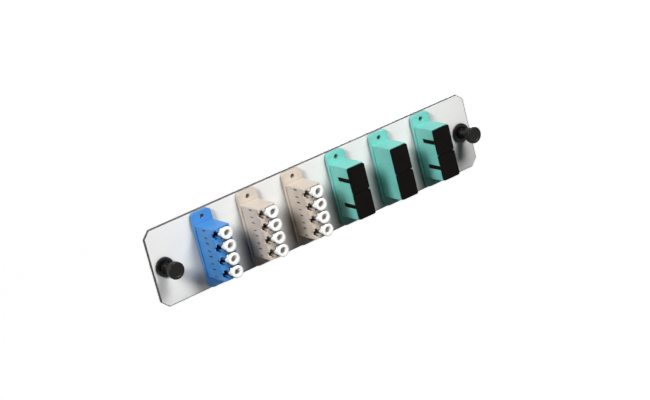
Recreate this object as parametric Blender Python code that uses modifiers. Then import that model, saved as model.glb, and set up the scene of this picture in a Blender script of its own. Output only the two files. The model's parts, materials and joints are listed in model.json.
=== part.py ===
"""Fibre adapter panel: a flat steel faceplate with two push-pull plunger latches, three four-port LC
adapters and three two-port SC adapters, each adapter in two welded housing halves with a sleeve
holder, a spring clip and removable dust plugs.

Every piece is drawn in the same local frame and then placed: local X runs along the panel, local Y
runs up and local Z runs out of the front face, measured from the faceplate's back face. Depths
are metres along local Z, so they are negative behind the panel.
"""

import math

import bmesh
import bpy
from mathutils import Matrix, Vector

# Faceplate
PLATE_LENGTH = 0.181
PLATE_HEIGHT = 0.037
PLATE_THICKNESS = 0.0016
PLATE_CHAMFER = 0.0035

# Layout along the panel
ADAPTER_COUNT = 6
ADAPTER_PITCH = 0.02485
ADAPTER_ROW_OFFSET = 0.001
LATCH_SPREAD = 0.169

# Clearances and edges
GAP = 0.0003
REACH = 0.001
HOUSING_EDGE = 0.0002

# Every adapter
BODY_WIDTH = 0.0092
FLANGE_WIDTH = 0.0103
FLANGE_HEIGHT = 0.0358
FLANGE_THICKNESS = 0.0019
FLANGE_CORNER = 0.002
EAR_HOLE_RADIUS = 0.0011
EAR_HOLE_HEIGHT = 0.0152
PLATE_EAR_HOLE_RADIUS = EAR_HOLE_RADIUS + 0.0001
FLANGE_BACK = PLATE_THICKNESS + GAP
WEB_THICKNESS = 0.0009
WEB_MARGIN = 0.0009
REAR_INSET = 0.0002
REAR_WIDTH = BODY_WIDTH - 2 * REAR_INSET
CUTOUT_CLEARANCE = 0.0002

# Four-port LC adapter
LC_HEIGHT = 0.0248
LC_FRONT = 0.0182
LC_REAR = -0.0125
LC_PORTS = 4
LC_PITCH = 0.00625
LC_PORT_SIZE = 0.0048
LC_PORT_OFFSET = 0.0014
LC_STEM_SIZE = 0.0042
LC_STEM_DEPTH = 0.0103
LC_BARREL = (-0.0028, 0.0066)
LC_BARREL_RADIUS = 0.0016
LC_BARREL_BORE = 0.0008
LATCH_DEPTH = 0.0092
LATCH_NECK_WIDTH = 0.0025
LATCH_HEAD_WIDTH = 0.0042
LATCH_HEAD_INNER = -0.0024
LATCH_HEAD_OUTER = -0.0039
LATCH_NOTCH_WIDTH = 0.0022
LATCH_NOTCH_DEPTH = 0.0018
WINDOW_WIDTH = 0.0007
WINDOW_START = 0.0058
WINDOW_END = 0.0084
WINDOW_SPREAD = 0.0018

# LC dust plug
PLUG_RING_RADIUS = 0.0029
PLUG_RING_FRONT = 0.021
PLUG_RING_LENGTH = 0.0005
PLUG_NECK_RADIUS = 0.0023
PLUG_NECK_DEPTH = 0.0187
PLUG_TAIL_REACH = 0.003
PLUG_TAIL_DEPTH = 0.0171
PLUG_TAIL_HALF_WIDTH = 0.00025
PLUG_BORE_RADIUS = 0.0014
PLUG_BORE_DEPTH = 0.0095

# LC rear plug, one piece for two ports
REAR_PLUG_HEAD = 0.0011
REAR_PLUG_GRIP_WIDTH = 0.0022
REAR_PLUG_GRIP_HEIGHT = 0.0034
REAR_PLUG_GRIP_LENGTH = 0.0028
REAR_PLUG_BORE = 0.0011

# Two-port SC adapter
SC_HEIGHT = 0.0256
SC_FRONT = 0.0174
SC_REAR = -0.0128
SC_PORTS = 2
SC_PITCH = 0.0127
SC_PORT_WIDTH = 0.0074
SC_PORT_HEIGHT = 0.009
SC_KEY_WIDTH = 0.0021
SC_FRONT_KEY_DEPTH = 0.0091
SC_REAR_KEY_DEPTH = 0.0076
SC_BARREL = (-0.0052, 0.0098)
SC_BARREL_RADIUS = 0.0023
SC_BARREL_BORE = 0.0013
SC_ARM = (-0.006, 0.0106)
SC_ARM_OUTER = 0.0033
SC_ARM_THICKNESS = 0.0007
SC_ARM_WIDTH = 0.0036
SC_HOOK = 0.0005
SC_HOOK_LENGTH = 0.0007
SC_HOOK_INSET = 0.0001

# SC dust caps
CAP_WIDTH = 0.0093
CAP_HEIGHT = 0.0124
CAP_CORNER = 0.0008
CAP_HEAD = 0.0009
CAP_PLUG_WIDTH = 0.0068
CAP_PLUG_HEIGHT = 0.0084
CAP_PLUG_DEPTH = 0.0064
CAP_WALL = 0.001
CAP_RIB_WIDTH = 0.0017
CAP_RIB_OUTER = 0.0045
CAP_RIB_DEPTH = 0.0061
CAP_TIP_INNER = 0.00365
CAP_TIP_DEPTH = 0.0088
CAP_TIP_INSET = 0.00005

# Spring clip, in a groove round the rear housing
CLIP_THICKNESS = 0.00025
CLIP_CLEARANCE = 0.0001
CLIP_GROOVE = 0.00025
CLIP_START = -0.0006
CLIP_END = -0.0034
CLIP_WING_WIDTH = 0.005
CLIP_WING_RISE = 0.0023
CLIP_WING_RUN = 0.0024

# Push-pull latch
HEAD_RADIUS = 0.004
HEAD_FRONT = 0.0132
HEAD_THICKNESS = 0.0025
HEAD_EDGE = 0.0006
SHANK_RADIUS = 0.0024
SHANK_END = -0.003
GROMMET_FLANGE_RADIUS = 0.0045
GROMMET_FLANGE_THICKNESS = 0.001
GROMMET_BORE = SHANK_RADIUS + GAP
GROMMET_RADIUS = GROMMET_BORE + 0.0007
GROMMET_END = -0.0065
BARB_RADIUS = 0.0039
BARB_START = -0.0036
BARB_TOP = -0.0042
BARB_END = -0.0047
LEG_SLOT_WIDTH = 0.0008
LEG_SLOT_START = -0.0006
PLATE_HOLE_RADIUS = GROMMET_RADIUS + GAP

# Facets of round shapes
ROUND_STEPS = 28
RING_STEPS = 20
SMALL_STEPS = 12
BARREL_STEPS = 8
CORNER_STEPS = 3

# Colour, roughness and metallic value of each material
PLATE_PAINT = ((0.70, 0.70, 0.68), 0.45, 0.0)
LC_BLUE = ((0.07, 0.28, 0.69), 0.42, 0.0)
LC_BEIGE = ((0.58, 0.51, 0.45), 0.45, 0.0)
SC_AQUA = ((0.17, 0.68, 0.56), 0.42, 0.0)
HOLDER_NATURAL = ((0.72, 0.70, 0.64), 0.5, 0.0)
PLUG_WHITE = ((0.91, 0.91, 0.88), 0.4, 0.0)
CAP_BLACK = ((0.012, 0.010, 0.010), 0.5, 0.0)
LATCH_BLACK = ((0.010, 0.009, 0.008), 0.35, 0.0)
SPRING_STEEL = ((0.62, 0.62, 0.63), 0.3, 1.0)


def clear_scene():
    for obj in list(bpy.data.objects):
        bpy.data.objects.remove(obj, do_unlink=True)


def new_collection(name):
    collection = bpy.data.collections.new(name)
    bpy.context.scene.collection.children.link(collection)
    return collection


clear_scene()
PARTS = new_collection("fibre_adapter_panel")
CUTTERS = new_collection("fibre_adapter_panel_cutters")


# Shapes

def add_box(bm, x, y, z):
    """A box between the pairs x, y and z."""
    centre = Vector(((x[0] + x[1]) / 2, (y[0] + y[1]) / 2, (z[0] + z[1]) / 2))
    size = (abs(x[1] - x[0]), abs(y[1] - y[0]), abs(z[1] - z[0]), 1)
    matrix = Matrix.Translation(centre) @ Matrix.Diagonal(size)
    return bmesh.ops.create_cube(bm, size=1, matrix=matrix)["verts"]


def add_cylinder(bm, radius, centre, z, steps):
    """A cylinder along local Z at centre, between the pair z."""
    matrix = Matrix.Translation((centre[0], centre[1], (z[0] + z[1]) / 2))
    bmesh.ops.create_cone(
        bm,
        cap_ends=True,
        segments=steps,
        radius1=radius,
        radius2=radius,
        depth=abs(z[1] - z[0]),
        matrix=matrix,
    )


def span(centre, width):
    return (centre - width / 2, centre + width / 2)


def rounded_box(bm, x, y, z, radius, segments):
    """A box whose four edges along local Z are rounded."""
    corners = add_box(bm, x, y, z)
    edges = {edge for vert in corners for edge in vert.link_edges}
    upright = [edge for edge in edges if abs(edge.verts[0].co.z - edge.verts[1].co.z) > GAP]
    bmesh.ops.bevel(
        bm, geom=upright, offset=radius, segments=segments, profile=0.5, affect="EDGES"
    )


def depths_from(face, inward, start, end):
    """A pair along local Z, for two depths inwards from a port face."""
    return tuple(sorted((face + inward * start, face + inward * end)))


def circle_points(radius, centre, z, steps):
    turns = [2 * math.pi * step / steps for step in range(steps)]
    return [
        (centre[0] + radius * math.cos(turn), centre[1] + radius * math.sin(turn), z)
        for turn in turns
    ]


# Objects

def material_of(name, look):
    colour, roughness, metallic = look
    material = bpy.data.materials.new(name)
    material.use_nodes = True
    shader = material.node_tree.nodes["Principled BSDF"]
    shader.inputs["Base Color"].default_value = (*colour, 1)
    shader.inputs["Roughness"].default_value = roughness
    shader.inputs["Metallic"].default_value = metallic
    material.diffuse_color = (*colour, 1)
    return material


def new_part(name, data, look, place):
    """Places the piece with its local Z along world -Y, which is out of the panel's front."""
    obj = bpy.data.objects.new(name, data)
    obj.rotation_euler = (math.pi / 2, 0, 0)
    obj.location = (place[0], 0, place[1])
    data.materials.append(material_of(name, look))
    PARTS.objects.link(obj)
    return obj


def mesh_of(name, bm):
    mesh = bpy.data.meshes.new(name)
    bm.to_mesh(mesh)
    bm.free()
    return mesh


def combine(obj, operation, draw):
    """A Boolean with a hidden shape that draw makes. The shape rides on obj."""
    bm = bmesh.new()
    draw(bm)
    name = f"{obj.name}_{operation.lower()}_{len(obj.modifiers) + 1}"
    helper = bpy.data.objects.new(name, mesh_of(name, bm))
    helper.parent = obj
    helper.hide_render = True
    helper.display_type = "WIRE"
    CUTTERS.objects.link(helper)
    modifier = obj.modifiers.new(name, "BOOLEAN")
    modifier.operation = operation
    modifier.solver = "EXACT"
    modifier.object = helper


def shade_round(mesh):
    mesh.shade_smooth()
    mesh.set_sharp_from_angle(angle=math.radians(35))


def turned_part(name, profile, steps, closed, look, place):
    """A profile of (radius, depth) pairs, down its outer side, turned about local Z."""
    bm = bmesh.new()
    verts = [bm.verts.new((radius, 0, depth)) for radius, depth in profile]
    pairs = list(zip(verts, verts[1:]))
    if closed:
        pairs.append((verts[-1], verts[0]))
    for pair in pairs:
        bm.edges.new(pair)
    obj = new_part(name, mesh_of(name, bm), look, place)
    screw = obj.modifiers.new("turn", "SCREW")
    screw.axis = "Z"
    screw.steps = steps
    screw.render_steps = steps
    screw.use_merge_vertices = True
    screw.merge_threshold = 0.00001
    screw.use_smooth_shade = True
    return obj


# Faceplate

def flat_outline(curve, points):
    spline = curve.splines.new("POLY")
    spline.points.add(len(points) - 1)
    for point, (x, y) in zip(spline.points, points):
        point.co = (x, y, 0, 1)
    spline.use_cyclic_u = True


def rectangle(centre, width, height):
    x0, x1 = span(centre, width)
    return [(x0, -height / 2), (x1, -height / 2), (x1, height / 2), (x0, height / 2)]


def plate_outline():
    half_x = PLATE_LENGTH / 2
    half_y = PLATE_HEIGHT / 2
    near_x = half_x - PLATE_CHAMFER
    near_y = half_y - PLATE_CHAMFER
    quarter = [(half_x, near_y), (near_x, half_y)]
    upper = quarter + [(-x, y) for x, y in reversed(quarter)]
    return upper + [(-x, -y) for x, y in upper]


def make_faceplate(adapters):
    curve = bpy.data.curves.new("faceplate", "CURVE")
    curve.dimensions = "2D"
    curve.fill_mode = "BOTH"
    curve.extrude = PLATE_THICKNESS / 2
    flat_outline(curve, plate_outline())
    holes = []
    for side in (-1, 1):
        latch = (side * LATCH_SPREAD / 2, 0)
        holes.append(circle_points(PLATE_HOLE_RADIUS, latch, 0, ROUND_STEPS))
        for centre, height in adapters:
            ear = (centre, side * EAR_HOLE_HEIGHT)
            holes.append(circle_points(PLATE_EAR_HOLE_RADIUS, ear, 0, SMALL_STEPS))
    for hole in holes:
        flat_outline(curve, [(x, y) for x, y, z in hole])
    for centre, height in adapters:
        tall = height - 2 * REAR_INSET + 2 * CUTOUT_CLEARANCE
        flat_outline(curve, rectangle(centre, REAR_WIDTH + 2 * CUTOUT_CLEARANCE, tall))
    obj = new_part("faceplate", curve, PLATE_PAINT, (0, 0))
    obj.location.y = -PLATE_THICKNESS / 2


# Push-pull latches

def make_grommet(name, place):
    flange_front = FLANGE_BACK + GROMMET_FLANGE_THICKNESS
    profile = [
        (GROMMET_FLANGE_RADIUS - HOUSING_EDGE, flange_front),
        (GROMMET_FLANGE_RADIUS, flange_front - HOUSING_EDGE),
        (GROMMET_FLANGE_RADIUS, FLANGE_BACK),
        (GROMMET_RADIUS, FLANGE_BACK),
        (GROMMET_RADIUS, BARB_START),
        (BARB_RADIUS, BARB_TOP),
        (BARB_RADIUS, BARB_END),
        (GROMMET_RADIUS - GAP, GROMMET_END),
        (GROMMET_BORE, GROMMET_END),
        (GROMMET_BORE, flange_front),
    ]
    obj = turned_part(name, profile, ROUND_STEPS, True, LATCH_BLACK, place)
    slot = span(0, LEG_SLOT_WIDTH)
    across = span(0, 2 * BARB_RADIUS + REACH)
    depth = (GROMMET_END - REACH, LEG_SLOT_START)
    combine(obj, "DIFFERENCE", lambda bm: add_box(bm, slot, across, depth))
    combine(obj, "DIFFERENCE", lambda bm: add_box(bm, across, slot, depth))


def make_plunger(name, place):
    head_back = HEAD_FRONT - HEAD_THICKNESS
    profile = [
        (0, HEAD_FRONT),
        (HEAD_RADIUS - HEAD_EDGE, HEAD_FRONT),
        (HEAD_RADIUS, HEAD_FRONT - HEAD_EDGE),
        (HEAD_RADIUS, head_back + HEAD_EDGE),
        (HEAD_RADIUS - HEAD_EDGE, head_back),
        (SHANK_RADIUS, head_back),
        (SHANK_RADIUS, SHANK_END + HEAD_EDGE),
        (SHANK_RADIUS - HEAD_EDGE, SHANK_END),
        (0, SHANK_END),
    ]
    turned_part(name, profile, ROUND_STEPS, False, LATCH_BLACK, place)


# Parts that both kinds of adapter have

def port_heights(count, pitch):
    """Port centres from the top down."""
    return [((count - 1) / 2 - index) * pitch for index in range(count)]


def make_front_housing(name, front, height, look, place):
    flange = (FLANGE_BACK, FLANGE_BACK + FLANGE_THICKNESS)
    bm = bmesh.new()
    rounded_box(
        bm, span(0, FLANGE_WIDTH), span(0, FLANGE_HEIGHT), flange, FLANGE_CORNER, CORNER_STEPS
    )
    obj = new_part(name, mesh_of(name, bm), look, place)
    body = (FLANGE_BACK + HOUSING_EDGE, front)

    def draw_body(bm):
        rounded_box(bm, span(0, BODY_WIDTH), span(0, height), body, HOUSING_EDGE, 1)

    def draw_ear_holes(bm):
        through = (FLANGE_BACK - REACH, FLANGE_BACK + FLANGE_THICKNESS + REACH)
        for side in (-1, 1):
            centre = (0, side * EAR_HOLE_HEIGHT)
            add_cylinder(bm, EAR_HOLE_RADIUS, centre, through, SMALL_STEPS)

    combine(obj, "UNION", draw_body)
    combine(obj, "DIFFERENCE", draw_ear_holes)
    return obj


def make_rear_housing(name, rear, height, look, place):
    """A body that passes through the plate's cutout, with a groove for the spring clip."""
    tall = height - 2 * REAR_INSET
    core = (rear + REACH, PLATE_THICKNESS - REACH / 2)
    bm = bmesh.new()
    add_box(bm, span(0, REAR_WIDTH - 2 * CLIP_GROOVE), span(0, tall - 2 * CLIP_GROOVE), core)
    obj = new_part(name, mesh_of(name, bm), look, place)

    def draw_blocks(bm):
        for depth in ((rear, CLIP_END - GAP), (CLIP_START + GAP, PLATE_THICKNESS)):
            rounded_box(bm, span(0, REAR_WIDTH), span(0, tall), depth, HOUSING_EDGE, 1)

    combine(obj, "UNION", draw_blocks)
    return obj


def web_size(height):
    """Width and height of the sleeve holder's web, in a pocket that leaves the walls."""
    return BODY_WIDTH - 2 * WEB_MARGIN, height - 2 * WEB_MARGIN


def draw_pocket(bm, height):
    web_width, web_height = web_size(height)
    depth = (FLANGE_BACK - REACH, FLANGE_BACK + WEB_THICKNESS + 2 * GAP)
    add_box(bm, span(0, web_width + 2 * GAP), span(0, web_height + 2 * GAP), depth)


def new_web(name, height, place):
    web_width, web_height = web_size(height)
    depth = (FLANGE_BACK + GAP, FLANGE_BACK + GAP + WEB_THICKNESS)
    bm = bmesh.new()
    add_box(bm, span(0, web_width), span(0, web_height), depth)
    return new_part(name, mesh_of(name, bm), HOLDER_NATURAL, place)


def make_spring_clip(name, height, place):
    """A steel band round the rear housing, with a sprung wing at each end behind the plate."""
    inner_x = REAR_WIDTH / 2 - CLIP_GROOVE + CLIP_CLEARANCE
    inner_y = height / 2 - REAR_INSET - CLIP_GROOVE + CLIP_CLEARANCE
    outer_x = inner_x + CLIP_THICKNESS
    outer_y = inner_y + CLIP_THICKNESS
    bm = bmesh.new()
    add_box(bm, (-outer_x, outer_x), (-outer_y, outer_y), (CLIP_END, CLIP_START))
    obj = new_part(name, mesh_of(name, bm), SPRING_STEEL, place)

    def draw_inside(bm):
        depth = (CLIP_END - REACH, CLIP_START + REACH)
        add_box(bm, (-inner_x, inner_x), (-inner_y, inner_y), depth)

    def draw_wings(bm):
        length = math.hypot(CLIP_WING_RISE, CLIP_WING_RUN)
        lean = math.atan2(CLIP_WING_RISE, CLIP_WING_RUN)
        for side in (-1, 1):
            foot = Vector((0, side * (inner_y + CLIP_THICKNESS / 2), CLIP_END + GAP))
            reach = Vector((0, side * CLIP_WING_RISE / 2, CLIP_WING_RUN / 2))
            turn = Matrix.Rotation(-side * lean, 4, "X")
            size = Matrix.Diagonal((CLIP_WING_WIDTH, CLIP_THICKNESS, length, 1))
            matrix = Matrix.Translation(foot + reach) @ turn @ size
            bmesh.ops.create_cube(bm, size=1, matrix=matrix)

    combine(obj, "DIFFERENCE", draw_inside)
    combine(obj, "UNION", draw_wings)


# LC adapter

def cut_lc_ports(obj, face, inward, length):
    """Four square ports, each with a T-shaped latch channel, a notch and two latch windows."""
    heights = port_heights(LC_PORTS, LC_PITCH)
    port_left = LC_PORT_OFFSET - LC_PORT_SIZE / 2
    wall = (-BODY_WIDTH / 2 - REACH, LATCH_HEAD_OUTER + GAP / 2)

    def draw_wide(bm):
        channel = depths_from(face, inward, -REACH, LATCH_DEPTH)
        port = depths_from(face, inward, -REACH, length)
        for height in heights:
            add_box(bm, span(LC_PORT_OFFSET, LC_PORT_SIZE), span(height, LC_PORT_SIZE), port)
            across = (LATCH_HEAD_OUTER, LATCH_HEAD_INNER)
            add_box(bm, across, span(height, LATCH_HEAD_WIDTH), channel)

    def draw_narrow(bm):
        channel = depths_from(face, inward, -2 * REACH, LATCH_DEPTH - GAP)
        notch = depths_from(face, inward, -2 * REACH, LATCH_NOTCH_DEPTH)
        window = depths_from(face, inward, WINDOW_START, WINDOW_END)
        across = (LATCH_HEAD_INNER - GAP, port_left + GAP)
        for height in heights:
            add_box(bm, across, span(height, LATCH_NECK_WIDTH), channel)
            add_box(bm, wall, span(height, LATCH_NOTCH_WIDTH), notch)
            for side in (-1, 1):
                centre = height + side * WINDOW_SPREAD
                add_box(bm, wall, span(centre, WINDOW_WIDTH), window)

    combine(obj, "DIFFERENCE", draw_wide)
    combine(obj, "DIFFERENCE", draw_narrow)


def make_lc_holder(name, place):
    obj = new_web(name, LC_HEIGHT, place)
    heights = port_heights(LC_PORTS, LC_PITCH)
    through = (LC_BARREL[0] - REACH, LC_BARREL[1] + REACH)

    def draw_round(bm, radius, depth):
        for height in heights:
            add_cylinder(bm, radius, (LC_PORT_OFFSET, height), depth, BARREL_STEPS)

    combine(obj, "UNION", lambda bm: draw_round(bm, LC_BARREL_RADIUS, LC_BARREL))
    combine(obj, "DIFFERENCE", lambda bm: draw_round(bm, LC_BARREL_BORE, through))


def make_lc_plug(name, place):
    """A ring-ended plug. Its ring narrows to a tail that runs back into the latch channel."""
    ring_back = PLUG_RING_FRONT - PLUG_RING_LENGTH
    points = circle_points(PLUG_RING_RADIUS, (0, 0), PLUG_RING_FRONT, RING_STEPS)
    points += circle_points(PLUG_RING_RADIUS, (0, 0), ring_back, RING_STEPS)
    points += circle_points(PLUG_NECK_RADIUS, (0, 0), PLUG_NECK_DEPTH, RING_STEPS)
    for side in (-1, 1):
        points.append((-PLUG_TAIL_REACH, side * PLUG_TAIL_HALF_WIDTH, PLUG_TAIL_DEPTH))
    bm = bmesh.new()
    verts = [bm.verts.new(point) for point in points]
    bmesh.ops.convex_hull(bm, input=verts)
    mesh = mesh_of(name, bm)
    shade_round(mesh)
    obj = new_part(name, mesh, PLUG_WHITE, place)
    stem = (LC_FRONT - LC_STEM_DEPTH, PLUG_NECK_DEPTH + GAP)
    bore = (PLUG_RING_FRONT - PLUG_BORE_DEPTH, PLUG_RING_FRONT + REACH)
    side = span(0, LC_STEM_SIZE)
    combine(obj, "UNION", lambda bm: add_box(bm, side, side, stem))
    combine(
        obj, "DIFFERENCE", lambda bm: add_cylinder(bm, PLUG_BORE_RADIUS, (0, 0), bore, RING_STEPS)
    )


def make_lc_rear_plug(name, place):
    """One piece that closes two rear ports: two stems on a bridge, with a finger grip."""
    head = (LC_REAR - GAP - REAR_PLUG_HEAD, LC_REAR - GAP)
    height = LC_PITCH + LC_STEM_SIZE
    bm = bmesh.new()
    rounded_box(bm, span(0, LC_STEM_SIZE), span(0, height), head, LC_STEM_SIZE / 4, CORNER_STEPS)
    obj = new_part(name, mesh_of(name, bm), PLUG_WHITE, place)
    stem = (head[1] - GAP, LC_REAR + LC_STEM_DEPTH - 2 * REACH)
    grip = (head[0] - REAR_PLUG_GRIP_LENGTH, head[0] + GAP)
    bore = (head[0] - REACH, stem[1] - REACH)

    def draw_stems(bm):
        for side in (-1, 1):
            centre = side * LC_PITCH / 2
            add_box(bm, span(0, LC_STEM_SIZE - GAP), span(centre, LC_STEM_SIZE - GAP), stem)
        add_box(bm, span(0, REAR_PLUG_GRIP_WIDTH), span(0, REAR_PLUG_GRIP_HEIGHT), grip)

    def draw_bores(bm):
        for side in (-1, 1):
            add_cylinder(bm, REAR_PLUG_BORE, (0, side * LC_PITCH / 2), bore, SMALL_STEPS)

    combine(obj, "UNION", draw_stems)
    combine(obj, "DIFFERENCE", draw_bores)


def make_lc_adapter(name, x, look):
    front = make_front_housing(f"{name}_front_housing", LC_FRONT, LC_HEIGHT, look, (x, 0))
    cut_lc_ports(front, LC_FRONT, -1, LC_FRONT - FLANGE_BACK - GAP)
    combine(front, "DIFFERENCE", lambda bm: draw_pocket(bm, LC_HEIGHT))
    rear = make_rear_housing(f"{name}_rear_housing", LC_REAR, LC_HEIGHT, look, (x, 0))
    cut_lc_ports(rear, LC_REAR, 1, PLATE_THICKNESS - LC_REAR + REACH)
    make_lc_holder(f"{name}_sleeve_holder", (x, 0))
    make_spring_clip(f"{name}_spring_clip", LC_HEIGHT, (x, 0))
    for number, height in enumerate(port_heights(LC_PORTS, LC_PITCH), 1):
        make_lc_plug(f"{name}_dust_plug_{number}", (x + LC_PORT_OFFSET, height))
    for place, side in (("upper", 1), ("lower", -1)):
        centre = (x + LC_PORT_OFFSET, side * LC_PITCH)
        make_lc_rear_plug(f"{name}_rear_plug_{place}", centre)


# SC adapter

def cut_sc_ports(obj, face, inward, length, key_side, key_depth):
    """Two oblong ports, each with a key slot that opens one side wall from the rim inwards."""
    heights = port_heights(SC_PORTS, SC_PITCH)

    def draw_ports(bm):
        port = depths_from(face, inward, -REACH, length)
        for height in heights:
            add_box(bm, span(0, SC_PORT_WIDTH), span(height, SC_PORT_HEIGHT), port)

    def draw_keys(bm):
        slot = depths_from(face, inward, -2 * REACH, key_depth)
        inner = key_side * (SC_PORT_WIDTH / 2 - GAP)
        outer = key_side * (BODY_WIDTH / 2 + REACH)
        for height in heights:
            add_box(bm, (inner, outer), span(height, SC_KEY_WIDTH), slot)

    combine(obj, "DIFFERENCE", draw_ports)
    combine(obj, "DIFFERENCE", draw_keys)


def make_sc_holder(name, place):
    """A web with two barrels and four hooked arms that grip a plug from either side."""
    obj = new_web(name, SC_HEIGHT, place)
    heights = port_heights(SC_PORTS, SC_PITCH)
    through = (SC_BARREL[0] - REACH, SC_BARREL[1] + REACH)

    def draw_arms(bm):
        for height in heights:
            add_cylinder(bm, SC_BARREL_RADIUS, (0, height), SC_BARREL, BARREL_STEPS)
            for side in (-1, 1):
                across = (side * (SC_ARM_OUTER - SC_ARM_THICKNESS), side * SC_ARM_OUTER)
                add_box(bm, across, span(height, SC_ARM_WIDTH), SC_ARM)

    def draw_hooks(bm):
        inner = SC_ARM_OUTER - SC_ARM_THICKNESS - SC_HOOK
        outer = SC_ARM_OUTER - SC_ARM_THICKNESS / 2
        rear_end, front_end = SC_ARM
        for height in heights:
            for side in (-1, 1):
                across = (side * inner, side * outer)
                wide = span(height, SC_ARM_WIDTH - GAP)
                add_box(bm, across, wide, (front_end - SC_HOOK_LENGTH, front_end - SC_HOOK_INSET))
                add_box(bm, across, wide, (rear_end + SC_HOOK_INSET, rear_end + SC_HOOK_LENGTH))

    def draw_bores(bm):
        for height in heights:
            add_cylinder(bm, SC_BARREL_BORE, (0, height), through, BARREL_STEPS)

    combine(obj, "UNION", draw_arms)
    combine(obj, "UNION", draw_hooks)
    combine(obj, "DIFFERENCE", draw_bores)


def draw_cap_plugs(bm, heights, depth):
    for height in heights:
        add_box(bm, span(0, CAP_PLUG_WIDTH), span(height, CAP_PLUG_HEIGHT), depth)


def draw_cap_ribs(bm, heights, across, depth):
    for height in heights:
        add_box(bm, across, span(height, CAP_RIB_WIDTH), depth)


def draw_cap_hollows(bm, heights, depth):
    width = CAP_PLUG_WIDTH - 2 * CAP_WALL
    tall = CAP_PLUG_HEIGHT - 2 * CAP_WALL
    for height in heights:
        add_box(bm, span(0, width), span(height, tall), depth)


def make_sc_cap(name, face, inward, heights, height, key_side, place):
    """A thin head over the rim, and a hollow plug with a key rib for each port it closes."""
    head = depths_from(face, inward, -GAP - CAP_HEAD, -GAP)
    plug = depths_from(face, inward, -2 * GAP, CAP_PLUG_DEPTH)
    hollow = depths_from(face, inward, CAP_WALL, CAP_PLUG_DEPTH + REACH)
    rib = depths_from(face, inward, -GAP - CAP_HEAD / 2, CAP_RIB_DEPTH)
    across = (key_side * (CAP_PLUG_WIDTH / 2 - GAP), key_side * CAP_RIB_OUTER)
    bm = bmesh.new()
    rounded_box(bm, span(0, CAP_WIDTH), span(0, height), head, CAP_CORNER, CORNER_STEPS)
    obj = new_part(name, mesh_of(name, bm), CAP_BLACK, place)
    combine(obj, "UNION", lambda bm: draw_cap_plugs(bm, heights, plug))
    combine(obj, "UNION", lambda bm: draw_cap_ribs(bm, heights, across, rib))
    combine(obj, "DIFFERENCE", lambda bm: draw_cap_hollows(bm, heights, hollow))
    return obj


def extend_cap_rib(cap, key_side):
    """The front cap's rib runs on past its plug, to fill the front housing's longer key slot."""
    across = (key_side * CAP_TIP_INNER, key_side * (CAP_RIB_OUTER - CAP_TIP_INSET))
    depth = depths_from(SC_FRONT, -1, CAP_RIB_DEPTH - REACH, CAP_TIP_DEPTH)
    wide = span(0, CAP_RIB_WIDTH - 2 * CAP_TIP_INSET)
    combine(cap, "UNION", lambda bm: add_box(bm, across, wide, depth))


def make_sc_adapter(name, x, key_side):
    front = make_front_housing(f"{name}_front_housing", SC_FRONT, SC_HEIGHT, SC_AQUA, (x, 0))
    length = SC_FRONT - FLANGE_BACK - GAP
    cut_sc_ports(front, SC_FRONT, -1, length, key_side, SC_FRONT_KEY_DEPTH)
    combine(front, "DIFFERENCE", lambda bm: draw_pocket(bm, SC_HEIGHT))
    rear = make_rear_housing(f"{name}_rear_housing", SC_REAR, SC_HEIGHT, SC_AQUA, (x, 0))
    length = PLATE_THICKNESS - SC_REAR + REACH
    cut_sc_ports(rear, SC_REAR, 1, length, key_side, SC_REAR_KEY_DEPTH)
    make_sc_holder(f"{name}_sleeve_holder", (x, 0))
    make_spring_clip(f"{name}_spring_clip", SC_HEIGHT, (x, 0))
    for place, side in (("upper", 1), ("lower", -1)):
        centre = (x, side * SC_PITCH / 2)
        cap = make_sc_cap(
            f"{name}_dust_cap_{place}", SC_FRONT, -1, [0], CAP_HEIGHT, key_side, centre
        )
        extend_cap_rib(cap, key_side)
    heights = port_heights(SC_PORTS, SC_PITCH)
    both = SC_PITCH + CAP_HEIGHT
    make_sc_cap(f"{name}_rear_dust_cap", SC_REAR, 1, heights, both, key_side, (x, 0))


def adapter_x(index):
    return ADAPTER_ROW_OFFSET + (index - (ADAPTER_COUNT - 1) / 2) * ADAPTER_PITCH


def main():
    lc_adapters = (("lc1", 0, LC_BLUE), ("lc2", 1, LC_BEIGE), ("lc3", 2, LC_BEIGE))
    sc_adapters = (("sc1", 3, -1), ("sc2", 4, 1), ("sc3", 5, -1))
    cutouts = [(adapter_x(index), LC_HEIGHT) for name, index, look in lc_adapters]
    cutouts += [(adapter_x(index), SC_HEIGHT) for name, index, side in sc_adapters]
    make_faceplate(cutouts)
    for side, name in ((-1, "left"), (1, "right")):
        place = (side * LATCH_SPREAD / 2, 0)
        make_grommet(f"grommet_{name}", place)
        make_plunger(f"plunger_{name}", place)
    for name, index, look in lc_adapters:
        make_lc_adapter(name, adapter_x(index), look)
    for name, index, side in sc_adapters:
        make_sc_adapter(name, adapter_x(index), side)


main()
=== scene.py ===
"""Looks of the fibre adapter panel: materials, softened edges on the CAD pieces, finer versions of
the turned pieces and dust plugs, the ceramic sleeves, the floor, the lights and the camera."""

import json
import math

import bmesh
import bpy
from mathutils import Matrix, Vector

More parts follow.
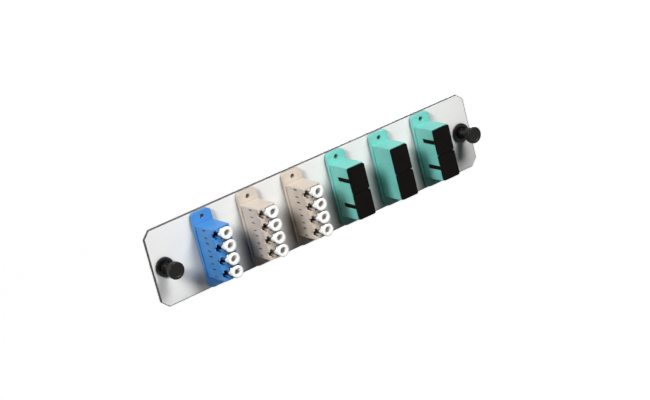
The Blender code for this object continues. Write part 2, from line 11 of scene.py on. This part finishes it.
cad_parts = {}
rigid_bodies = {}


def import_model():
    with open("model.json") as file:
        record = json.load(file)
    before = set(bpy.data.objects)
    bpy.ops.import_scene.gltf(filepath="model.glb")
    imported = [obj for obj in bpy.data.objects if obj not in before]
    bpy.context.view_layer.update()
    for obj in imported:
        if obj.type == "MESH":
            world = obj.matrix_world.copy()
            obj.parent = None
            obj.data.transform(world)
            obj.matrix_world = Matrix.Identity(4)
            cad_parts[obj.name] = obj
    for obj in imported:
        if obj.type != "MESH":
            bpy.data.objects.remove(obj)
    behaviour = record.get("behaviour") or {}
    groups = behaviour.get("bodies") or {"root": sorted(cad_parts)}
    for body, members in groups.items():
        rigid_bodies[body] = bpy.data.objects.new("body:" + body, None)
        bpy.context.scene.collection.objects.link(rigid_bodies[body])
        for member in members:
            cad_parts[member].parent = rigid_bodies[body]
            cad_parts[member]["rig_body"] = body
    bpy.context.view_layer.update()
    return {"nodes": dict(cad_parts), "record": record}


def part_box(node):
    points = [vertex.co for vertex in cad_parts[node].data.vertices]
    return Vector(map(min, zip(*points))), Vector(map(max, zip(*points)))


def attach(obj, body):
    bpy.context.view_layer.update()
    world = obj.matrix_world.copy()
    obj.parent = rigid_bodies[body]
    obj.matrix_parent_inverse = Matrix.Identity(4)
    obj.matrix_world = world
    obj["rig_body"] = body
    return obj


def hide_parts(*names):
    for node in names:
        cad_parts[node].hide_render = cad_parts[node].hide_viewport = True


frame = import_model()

NODES = frame["nodes"]
LC_ADAPTERS = ("lc1", "lc2", "lc3")
SC_ADAPTERS = ("sc1", "sc2", "sc3")

# The panel's local frame, as in the CAD: local Z comes out of the front face
OUTWARD = Matrix.Rotation(math.pi / 2, 4, "X")

# Camera: a long lens from the upper left, rolled
CAMERA_AIM = Vector((0.0042, 0, -0.0034))
CAMERA_DISTANCE = 1.0302
CAMERA_AZIMUTH = math.radians(29.92)
CAMERA_ELEVATION = math.radians(18.07)
CAMERA_ROLL = math.radians(14.35)
CAMERA_LENS = 123.7

SMOOTH_ANGLE = math.radians(32)
BEVEL_ANGLE = math.radians(35)

# The faceplate's corners are cut off at 45 degrees, this far in from each side
CORNER_CUT = 0.0035

# A dark rim runs round the faceplate's outline and fades out between these two distances from it
RIM_WIDTH = 0.00035
RIM_FADED = 0.00055


# Node trees

class Tree:
    """A short way to build a material's nodes."""

    def __init__(self, name):
        self.material = bpy.data.materials.new(name)
        self.material.use_nodes = True
        self.nodes = self.material.node_tree.nodes
        self.links = self.material.node_tree.links
        self.shader = self.nodes["Principled BSDF"]
        self.place = self.nodes.new("ShaderNodeTexCoord").outputs["Object"]

    def link(self, output, socket):
        self.links.new(output, socket)

    def noise(self, scale, detail=3.0, stretch=(1, 1, 1), distortion=0.0):
        mapping = self.nodes.new("ShaderNodeMapping")
        mapping.inputs["Scale"].default_value = stretch
        self.link(self.place, mapping.inputs["Vector"])
        noise = self.nodes.new("ShaderNodeTexNoise")
        noise.inputs["Scale"].default_value = scale
        noise.inputs["Detail"].default_value = detail
        noise.inputs["Distortion"].default_value = distortion
        self.link(mapping.outputs["Vector"], noise.inputs["Vector"])
        return noise.outputs["Fac"]

    def remap(self, value, low, high, start=0.3, end=0.7):
        node = self.nodes.new("ShaderNodeMapRange")
        node.inputs["From Min"].default_value = start
        node.inputs["From Max"].default_value = end
        node.inputs["To Min"].default_value = low
        node.inputs["To Max"].default_value = high
        self.link(value, node.inputs["Value"])
        return node.outputs["Result"]

    def mix(self, factor, first, second):
        node = self.nodes.new("ShaderNodeMix")
        node.data_type = "RGBA"
        for socket, colour in ((node.inputs["A"], first), (node.inputs["B"], second)):
            if hasattr(colour, "is_linked"):
                self.link(colour, socket)
            else:
                socket.default_value = (*colour, 1)
        self.link(factor, node.inputs["Factor"])
        return node.outputs["Result"]

    def shelter(self, distance, low, high):
        """1 on open surfaces, falling to 0 in cavities and against other pieces: the mask that
        paints shade into a colour.
        """
        node = self.nodes.new("ShaderNodeAmbientOcclusion")
        node.samples = 8
        node.inputs["Distance"].default_value = distance
        return self.remap(node.outputs["AO"], 0.0, 1.0, low, high)

    def math(self, operation, first, second=0.0):
        """A Math node on two values, each a number or another node's output."""
        node = self.nodes.new("ShaderNodeMath")
        node.operation = operation
        for socket, value in zip(node.inputs, (first, second)):
            if hasattr(value, "is_linked"):
                self.link(value, socket)
            else:
                socket.default_value = value
        return node.outputs["Value"]

    def bump(self, height, distance, strength=1.0, below=None):
        node = self.nodes.new("ShaderNodeBump")
        node.inputs["Strength"].default_value = strength
        node.inputs["Distance"].default_value = distance
        self.link(height, node.inputs["Height"])
        if below is not None:
            self.link(below, node.inputs["Normal"])
        return node.outputs["Normal"]

    def set(self, **values):
        for name, value in values.items():
            socket = self.shader.inputs[name.replace("_", " ")]
            if hasattr(value, "is_linked"):
                self.link(value, socket)
            else:
                socket.default_value = value


def tint(colour, factor):
    return tuple(min(1.0, channel * factor) for channel in colour)


def moulded_plastic(
    name, colour, roughness, grain=0.00001, soft=0.0, variation=0.07, gloss=0.5, shade_reach=0.0025
):
    """Spark-textured moulded plastic, with faint flow marks, a slightly uneven gloss, and painted
    shade that darkens its colour in cavities and against other pieces.
    """
    tree = Tree(name)
    flow = tree.noise(160, 4, distortion=0.6)
    speck = tree.noise(5200, 2)
    cloud = tree.remap(flow, 0.0, 1.0)
    toned = tree.mix(cloud, tint(colour, 1 - variation), tint(colour, 1 + variation))
    fine = tree.remap(speck, 0.0, 0.35)
    shaded = tree.mix(fine, (1, 1, 1), tint((1, 1, 1), 0.9))
    product = tree.nodes.new("ShaderNodeMix")
    product.data_type = "RGBA"
    product.blend_type = "MULTIPLY"
    product.inputs["Factor"].default_value = 1.0
    tree.link(toned, product.inputs["A"])
    tree.link(shaded, product.inputs["B"])
    # Painted shade: within shade_reach of other surfaces the colour falls towards 6 % of itself in
    # cavities and against other pieces
    shade_mask = tree.shelter(shade_reach, 0.12, 0.62)
    shade_painted = tree.mix(shade_mask, tint(colour, 0.06), product.outputs["Result"])
    waves = tree.bump(flow, 0.00003, 0.6)
    texture = tree.bump(speck, grain, 1.0, below=waves)
    tree.set(
        Base_Color=shade_painted,
        Roughness=tree.remap(flow, roughness - 0.07, roughness + 0.07),
        Normal=texture,
        Specular_IOR_Level=gloss,
    )
    if soft:
        tree.set(Subsurface_Weight=soft, Subsurface_Scale=0.0012)
        tree.shader.inputs["Subsurface Radius"].default_value = (1.0, 0.9, 0.75)
    tree.material.diffuse_color = (*colour, 1)
    return tree.material


def inset_from_outline(tree):
    """How far inside the faceplate's outline, with its cut corners, a point lies."""
    split = tree.nodes.new("ShaderNodeSeparateXYZ")
    tree.link(tree.place, split.inputs["Vector"])
    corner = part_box("faceplate")[1]
    across = tree.math("ABSOLUTE", split.outputs["X"])
    up = tree.math("ABSOLUTE", split.outputs["Z"])
    to_side = tree.math("SUBTRACT", corner.x, across)
    to_top = tree.math("SUBTRACT", corner.z, up)
    reach = tree.math("ADD", across, up)
    to_corner = tree.math("SUBTRACT", corner.x + corner.z - CORNER_CUT, reach)
    return tree.math("MINIMUM", tree.math("MINIMUM", to_side, to_top), to_corner)


def plate_paint(name):
    """Light grey powder coat, rubbed and grained, with a dark rim round the sheet's outline, and
    painted shade that darkens the coat next to the adapters and other pieces and in recesses.
    """
    tree = Tree(name)
    peel = tree.noise(1500, 2)
    speck = tree.noise(7000, 2)
    cloud = tree.noise(28, 3, distortion=0.4)
    rub = tree.noise(900, 3, stretch=(0.03, 1, 1))
    coat = tree.mix(tree.remap(cloud, 0, 1), (0.69, 0.69, 0.675), (0.76, 0.76, 0.745))
    worn = tree.mix(tree.remap(rub, 0, 0.3, 0.55, 0.8), coat, (0.60, 0.60, 0.59))
    grained = tree.mix(tree.remap(speck, 0, 0.25), worn, (0.50, 0.50, 0.49))
    rim = tree.remap(inset_from_outline(tree), 1.0, 0.0, RIM_WIDTH, RIM_FADED)
    # Painted shade: within 9 mm of other pieces and in recesses the coat darkens towards a dark grey
    coat_shade_painted = tree.mix(tree.shelter(0.009, 0.15, 0.8), (0.16, 0.16, 0.16), grained)
    tree.set(
        Base_Color=tree.mix(rim, coat_shade_painted, (0.045, 0.045, 0.048)),
        Roughness=tree.remap(cloud, 0.36, 0.5),
        Normal=tree.bump(speck, 0.000008, 0.8, below=tree.bump(peel, 0.00002, 0.8)),
        Specular_IOR_Level=0.3,
    )
    tree.material.diffuse_color = (0.72, 0.72, 0.7, 1)
    return tree.material


def rolled_steel(name):
    """Bright spring strip, with fine lines along its rolling direction."""
    tree = Tree(name)
    lines = tree.noise(5200, 3, stretch=(1, 0.04, 1))
    cloud = tree.noise(260, 3)
    tree.set(
        Base_Color=tree.mix(tree.remap(cloud, 0, 1), (0.53, 0.53, 0.54), (0.68, 0.68, 0.68)),
        Metallic=1.0,
        Roughness=tree.remap(lines, 0.2, 0.42),
        Normal=tree.bump(lines, 0.000006, 0.8),
    )
    return tree.material


def ceramic(name):
    tree = Tree(name)
    polish = tree.noise(2600, 3)
    tree.set(
        Base_Color=tree.mix(tree.remap(polish, 0, 1), (0.82, 0.81, 0.77), (0.88, 0.87, 0.84)),
        Roughness=tree.remap(polish, 0.12, 0.2),
        Normal=tree.bump(polish, 0.000002, 0.5),
    )
    return tree.material


MATERIALS = {
    "plate_paint": plate_paint("plate_paint"),
    "blue_plastic": moulded_plastic("blue_plastic", (0.05, 0.215, 0.52), 0.38, gloss=0.3),
    "beige_plastic": moulded_plastic("beige_plastic", (0.52, 0.455, 0.39), 0.44, gloss=0.35),
    "aqua_plastic": moulded_plastic("aqua_plastic", (0.155, 0.50, 0.445), 0.38, gloss=0.3),
    "natural_plastic": moulded_plastic("natural_plastic", (0.70, 0.68, 0.61), 0.45, soft=0.2),
    "white_plastic": moulded_plastic("white_plastic", (0.85, 0.845, 0.82), 0.34, soft=0.35,
                                     variation=0.02),
    # plug_bore is a tan copy of the white plastic for the dust plugs' bores: painted light, the warm
    # glow that light through the translucent plastic gives inside them, with a short shade reach so
    # their painted shade stays slight
    "plug_bore": moulded_plastic("plug_bore", (0.88, 0.79, 0.60), 0.5, soft=0.3,
                                 shade_reach=0.0002),
    "black_plastic": moulded_plastic("black_plastic", (0.004, 0.0032, 0.003), 0.5,
                                     grain=0.000014, variation=0.3, gloss=0.04),
    "latch_plastic": moulded_plastic("latch_plastic", (0.004, 0.0034, 0.003), 0.36,
                                     grain=0.000006, variation=0.3, gloss=0.2),
    "spring_steel": rolled_steel("spring_steel"),
    "ceramic": ceramic("ceramic"),
}
SLOT_OF = {part["node"]: part["material_slot"] for part in frame["record"]["subparts"]}


# Softened edges on CAD nodes

def smooth_group():
    """A modifier's node group that shades every face smooth, for Weighted Normal to work on."""
    group = bpy.data.node_groups.new("shade_smooth", "GeometryNodeTree")
    group.interface.new_socket("Geometry", in_out="INPUT", socket_type="NodeSocketGeometry")
    group.interface.new_socket("Geometry", in_out="OUTPUT", socket_type="NodeSocketGeometry")
    start = group.nodes.new("NodeGroupInput")
    shade = group.nodes.new("GeometryNodeSetShadeSmooth")
    end = group.nodes.new("NodeGroupOutput")
    group.links.new(start.outputs["Geometry"], shade.inputs["Geometry"])
    group.links.new(shade.outputs["Geometry"], end.inputs["Geometry"])
    return group


SMOOTH_GROUP = smooth_group()
WELD_DISTANCE = 0.000002
FLAT_ANGLE = math.radians(0.5)
SOFTENED_ANGLE = math.radians(40)
FACE_AREA_WEIGHT = 100


def soften(obj, width):
    """Welds the facets' shared corners, redraws flat faces in clean triangles, rounds the edges."""
    weld = obj.modifiers.new("weld", "WELD")
    weld.merge_threshold = WELD_DISTANCE
    flat = obj.modifiers.new("flat_faces", "DECIMATE")
    flat.decimate_type = "DISSOLVE"
    flat.angle_limit = FLAT_ANGLE
    clean = obj.modifiers.new("clean_triangles", "TRIANGULATE")
    clean.quad_method = "BEAUTY"
    clean.ngon_method = "BEAUTY"
    clean.min_vertices = 5
    smooth = obj.modifiers.new("smooth", "NODES")
    smooth.node_group = SMOOTH_GROUP
    bevel = obj.modifiers.new("edges", "BEVEL")
    bevel.width = width
    bevel.segments = 2
    bevel.limit_method = "ANGLE"
    bevel.angle_limit = SOFTENED_ANGLE
    normals = obj.modifiers.new("face_normals", "WEIGHTED_NORMAL")
    normals.weight = FACE_AREA_WEIGHT


def dress_cad_nodes():
    """Gives every CAD node its material, and softens each by the width for its kind."""
    widths = {
        "faceplate": 0.0003,
        "front_housing": 0.00018,
        "rear_housing": 0.00015,
        "sleeve_holder": 0.00008,
        "spring_clip": 0.00006,
        "rear_plug": 0.0002,
        "dust_cap": 0.0002,
    }
    for name, obj in NODES.items():
        obj.data.materials.clear()
        obj.data.materials.append(MATERIALS[SLOT_OF[name]])
        for ending, width in widths.items():
            if ending in name:
                soften(obj, width)


# New pieces

def mesh_object(name, bm, material):
    mesh = bpy.data.meshes.new(name)
    bm.to_mesh(mesh)
    bm.free()
    mesh.materials.append(material)
    obj = bpy.data.objects.new(name, mesh)
    bpy.context.scene.collection.objects.link(obj)
    return obj


def settle(obj):
    """Applies the modifiers and shades the result smooth, except across sharp edges."""
    graph = bpy.context.evaluated_depsgraph_get()
    mesh = bpy.data.meshes.new_from_object(obj.evaluated_get(graph))
    obj.modifiers.clear()
    obj.data = mesh
    mesh.shade_smooth()
    mesh.set_sharp_from_angle(angle=SMOOTH_ANGLE)
    return obj


def cut_or_join(obj, operation, tool):
    modifier = obj.modifiers.new("shape", "BOOLEAN")
    modifier.operation = operation
    modifier.solver = "EXACT"
    modifier.object = tool
    settle(obj)
    bpy.data.objects.remove(tool)


def bevelled(obj, width, segments):
    modifier = obj.modifiers.new("edges", "BEVEL")
    modifier.width = width
    modifier.segments = segments
    modifier.limit_method = "ANGLE"
    modifier.angle_limit = BEVEL_ANGLE
    return settle(obj)


def box_object(name, size, centre, material):
    bm = bmesh.new()
    matrix = Matrix.Translation(centre) @ Matrix.Diagonal((*size, 1))
    bmesh.ops.create_cube(bm, size=1, matrix=matrix)
    return mesh_object(name, bm, material)


def turned_object(name, profile, steps, material, closed=False):
    """A profile of (radius, depth) pairs turned about local Z."""
    bm = bmesh.new()
    verts = [bm.verts.new((radius, 0, depth)) for radius, depth in profile]
    edges = [bm.edges.new(pair) for pair in zip(verts, verts[1:])]
    if closed:
        edges.append(bm.edges.new((verts[-1], verts[0])))
    bmesh.ops.spin(
        bm,
        geom=verts + edges,
        axis=(0, 0, 1),
        cent=(0, 0, 0),
        angle=2 * math.pi,
        steps=steps,
        use_merge=True,
    )
    bmesh.ops.remove_doubles(bm, verts=bm.verts, dist=0.000001)
    bmesh.ops.recalc_face_normals(bm, faces=bm.faces)
    obj = mesh_object(name, bm, material)
    return settle(obj)


def arc(centre, radius, start, end, steps=5):
    """Points of a (radius, depth) profile on an arc, between two angles in degrees."""
    angles = [math.radians(start + (end - start) * step / steps) for step in range(steps + 1)]
    return [
        (centre[0] + radius * math.cos(angle), centre[1] + radius * math.sin(angle))
        for angle in angles
    ]


def stand_for(obj, node, place):
    """Puts obj, drawn in the local frame, at place on the panel instead of the CAD node."""
    obj.matrix_world = Matrix.Translation((place[0], 0, place[1])) @ OUTWARD
    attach(obj, NODES[node]["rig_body"])
    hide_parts(node)


def copy_of(obj, name):
    copy = bpy.data.objects.new(name, obj.data)
    bpy.context.scene.collection.objects.link(copy)
    return copy


def axis_of(node):
    low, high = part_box(node)
    return (low.x + high.x) / 2, (low.z + high.z) / 2


# Plungers and grommets

def plunger_profile():
    """A dished head with rounded rims, and a grooved shank with a rounded tip."""
    low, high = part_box("plunger_right")
    radius = (high.x - low.x) / 2
    front = -low.y
    end = -high.y
    head_thickness = 0.0025
    back = front - head_thickness
    shank = 0.0024
    dish_depth = 0.00025
    rim_round = 0.0006
    under_round = 0.0005
    neck_fillet = 0.0005
    groove_depth = 0.00025
    groove_mouth = (0.0052, 0.0038)
    groove_floor = (0.0048, 0.0042)
    tip_round = 0.0008
    dish = [(0, front - dish_depth), (radius * 0.62, front - dish_depth)]
    dish += [(radius * 0.68, front - 0.0001), (radius * 0.72, front)]
    rim = arc((radius - rim_round, front - rim_round), rim_round, 90, 0)
    under = arc((radius - under_round, back + under_round), under_round, 0, -90)
    fillet = arc((shank + neck_fillet, back - neck_fillet), neck_fillet, 90, 180, 4)
    groove = [
        (shank, groove_mouth[0]),
        (shank - groove_depth, groove_floor[0]),
        (shank - groove_depth, groove_floor[1]),
        (shank, groove_mouth[1]),
    ]
    tip = arc((shank - tip_round, end + tip_round), tip_round, 0, -90)
    return dish + rim + under + fillet + groove + tip + [(0, end)]


def grommet_profile():
    """A flange with a rounded rim, a barrel that ends in a barb, and a through bore."""
    low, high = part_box("grommet_right")
    radius = (high.x - low.x) / 2
    front = -low.y
    end = -high.y
    bore = 0.0027
    barrel = 0.0034
    barb = 0.0039
    flange_back = 0.0019
    rim_round = 0.0004
    barb_round = 0.0002
    chamfer = 0.0001
    mouth_chamfer = 0.0003
    rim = arc((radius - rim_round, front - rim_round), rim_round, 90, 0)
    body = [
        (radius, flange_back + chamfer),
        (radius - chamfer, flange_back),
        (barrel, flange_back),
        (barrel, -0.0036),
        (barb - chamfer, -0.0041),
    ]
    hook = arc((barb - barb_round, -0.0044), barb_round, 45, -30, 4)
    leg_end = [(barrel - 0.0003, end + chamfer), (barrel - 0.0004, end)]
    inside = [(bore, end), (bore, front - mouth_chamfer), (bore + mouth_chamfer, front)]
    return rim + body + hook + leg_end + inside


def build_latches():
    """The grommet's crossed slots split it into four legs. Both latches share their meshes."""
    plunger = turned_object("plunger", plunger_profile(), 64, MATERIALS["latch_plastic"])
    grommet = turned_object(
        "grommet", grommet_profile(), 64, MATERIALS["latch_plastic"], closed=True
    )
    slot_start = -0.0006
    slot_length = 0.0069
    slot_width = 0.0008
    slot_across = 0.012
    centre = (0, 0, slot_start - slot_length / 2)
    for size in ((slot_width, slot_across, slot_length), (slot_across, slot_width, slot_length)):
        cutter = box_object("leg_slot", size, centre, MATERIALS["latch_plastic"])
        cut_or_join(grommet, "DIFFERENCE", cutter)
    for piece, kind in ((plunger, "plunger"), (grommet, "grommet")):
        for side in ("left", "right"):
            node = f"{kind}_{side}"
            stand_for(copy_of(piece, f"{node}_shell"), node, axis_of(node))
        bpy.data.objects.remove(piece)


# LC dust plugs

def build_plug():
    """The CAD plug with round sections: a ring that narrows to a tail, a stem and a blind bore."""
    low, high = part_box("lc1_dust_plug_1")
    radius = (high.z - low.z) / 2
    front = -low.y
    stem_end = -high.y
    steps = 72
    ring_length = 0.0005
    waist = (0.0023, 0.0187)
    tail = (-0.003, 0.0171)
    tail_half_width = 0.00025
    rings = ((radius, front), (radius, front - ring_length), waist)
    bm = bmesh.new()
    for size, depth in rings:
        for step in range(steps):
            turn = 2 * math.pi * step / steps
            bm.verts.new((size * math.cos(turn), size * math.sin(turn), depth))
    for side in (-1, 1):
        bm.verts.new((tail[0], side * tail_half_width, tail[1]))
    bmesh.ops.convex_hull(bm, input=list(bm.verts))
    bmesh.ops.dissolve_limit(
        bm, angle_limit=math.radians(0.2), verts=list(bm.verts), edges=list(bm.edges)
    )
    white = MATERIALS["white_plastic"]
    plug = mesh_object("plug", bm, white)
    bevelled(plug, width=0.00045, segments=5)
    stem_side = 0.0042
    stem_front = 0.0188
    stem_size = (stem_side, stem_side, stem_front - stem_end)
    stem = box_object("stem", stem_size, (0, 0, (stem_front + stem_end) / 2), white)
    bevelled(stem, width=0.0008, segments=4)
    cut_or_join(plug, "UNION", stem)
    bore_radius = 0.0015
    bore_depth = 0.0095
    mouth_round = 0.0003
    floor_chamfer = 0.0004
    overshoot = 0.001
    mouth_radius = bore_radius + mouth_round
    floor = front - bore_depth
    profile = [(0, front + overshoot), (mouth_radius, front + overshoot)]
    profile += arc((mouth_radius, front - mouth_round), mouth_round, 90, 180, 4)
    profile += [(bore_radius, floor + floor_chamfer), (bore_radius - floor_chamfer, floor)]
    profile += [(0, floor)]
    # The bore's faces take the tan plug_bore colour, which is painted light
    bore = turned_object("bore", profile, 48, MATERIALS["plug_bore"])
    cut_or_join(plug, "DIFFERENCE", bore)
    return plug


def port_axis(node):
    """The centre of an LC dust plug's port: its tail reaches left, so only its right side counts."""
    low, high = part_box(node)
    radius = (high.z - low.z) / 2
    return high.x - radius, (low.z + high.z) / 2


def build_dust_plugs():
    plug = build_plug()
    for adapter in LC_ADAPTERS:
        for number in range(1, 5):
            node = f"{adapter}_dust_plug_{number}"
            stand_for(copy_of(plug, f"{node}_shell"), node, port_axis(node))
    bpy.data.objects.remove(plug)


# Alignment sleeves

def build_sleeves():
    """A split ceramic sleeve in each barrel of each sleeve holder."""
    # Adapters, outer and inner radius, half length, sleeves, their pitch, and offset along X
    kinds = (
        (LC_ADAPTERS, 0.00078, 0.00062, 0.0034, 4, 0.00625, 0.0014),
        (SC_ADAPTERS, 0.00124, 0.00102, 0.0057, 2, 0.0127, 0.0),
    )
    slit_size = (0.003, 0.0002, 0.03)
    for adapters, outer, inner, half, count, pitch, offset in kinds:
        profile = [(outer, half), (outer, -half), (inner, -half), (inner, half)]
        sleeve = turned_object("sleeve", profile, 40, MATERIALS["ceramic"], closed=True)
        slit = box_object("slit", slit_size, (slit_size[0] / 2, 0, 0), MATERIALS["ceramic"])
        cut_or_join(sleeve, "DIFFERENCE", slit)
        for adapter in adapters:
            low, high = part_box(f"{adapter}_sleeve_holder")
            centre_x = (low.x + high.x) / 2
            middle = (low.y + high.y) / 2
            for index in range(count):
                piece = copy_of(sleeve, f"{adapter}_alignment_sleeve_{index + 1}")
                height = ((count - 1) / 2 - index) * pitch
                spot = Matrix.Translation((centre_x + offset, middle, height))
                piece.matrix_world = spot @ OUTWARD
                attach(piece, "panel")
        bpy.data.objects.remove(sleeve)


# Stage

def build_floor():
    """A wide white floor, well below the panel, that throws no light on it and isn't mirrored."""
    size = 40.0
    drop = 0.6
    bm = bmesh.new()
    bmesh.ops.create_grid(bm, x_segments=1, y_segments=1, size=size)
    tree = Tree("pale_floor")
    cloud = tree.noise(3, 3)
    tree.set(
        Base_Color=tree.mix(tree.remap(cloud, 0, 1), (0.9, 0.9, 0.9), (0.92, 0.92, 0.92)),
        Roughness=0.8,
        Emission_Color=(1, 1, 1, 1),
        Emission_Strength=0.95,
    )
    floor = mesh_object("floor", bm, tree.material)
    floor.location = (0, 0, -drop)
    floor.visible_diffuse = False
    floor.visible_glossy = False


def area_light(name, place, size, power, spread):
    """A round lamp aimed at the panel's middle. A narrow spread keeps gaps between pieces dark."""
    light = bpy.data.lights.new(name, "AREA")
    light.shape = "DISK"
    light.size = size
    light.energy = power
    light.spread = math.radians(spread)
    obj = bpy.data.objects.new(name, light)
    obj.location = place
    obj.rotation_euler = (-Vector(place)).to_track_quat("-Z", "Y").to_euler()
    bpy.context.scene.collection.objects.link(obj)


def build_lights():
    """A white world that lights nothing matt, a key from the upper right, a fill and two behind."""
    world = bpy.data.worlds.new("studio")
    bpy.context.scene.world = world
    world.use_nodes = True
    background = world.node_tree.nodes["Background"]
    background.inputs["Color"].default_value = (1, 1, 1, 1)
    background.inputs["Strength"].default_value = 1.0
    world.cycles_visibility.diffuse = False
    area_light("key", (0.26, -0.66, 0.72), 0.45, 1.03, spread=50)
    area_light("left", (-0.68, -0.40, 0.54), 0.3, 0.8, spread=50)
    area_light("back", (0.1, 1.05, 0.15), 0.3, 0.9, spread=60)
    area_light("back_right", (0.65, 0.85, 0.12), 0.3, 1.0, spread=60)


def build_camera():
    """Stands back from the aim point along the view, then turns about it."""
    camera = bpy.data.cameras.new("camera")
    camera.lens = CAMERA_LENS
    camera.sensor_width = 36
    camera.clip_start = 0.01
    camera.clip_end = 50
    flat = math.cos(CAMERA_ELEVATION)
    forward = Vector((
        math.sin(CAMERA_AZIMUTH) * flat,
        math.cos(CAMERA_AZIMUTH) * flat,
        -math.sin(CAMERA_ELEVATION),
    ))
    turn = forward.to_track_quat("-Z", "Y").to_matrix().to_4x4()
    roll = Matrix.Rotation(-CAMERA_ROLL, 4, "Z")
    obj = bpy.data.objects.new("camera", camera)
    obj.matrix_world = Matrix.Translation(CAMERA_AIM - forward * CAMERA_DISTANCE) @ turn @ roll
    bpy.context.scene.collection.objects.link(obj)
    bpy.context.scene.camera = obj


dress_cad_nodes()
build_latches()
build_dust_plugs()
build_sleeves()
build_floor()
build_lights()
build_camera()
bpy.context.scene.view_settings.view_transform = "Standard"
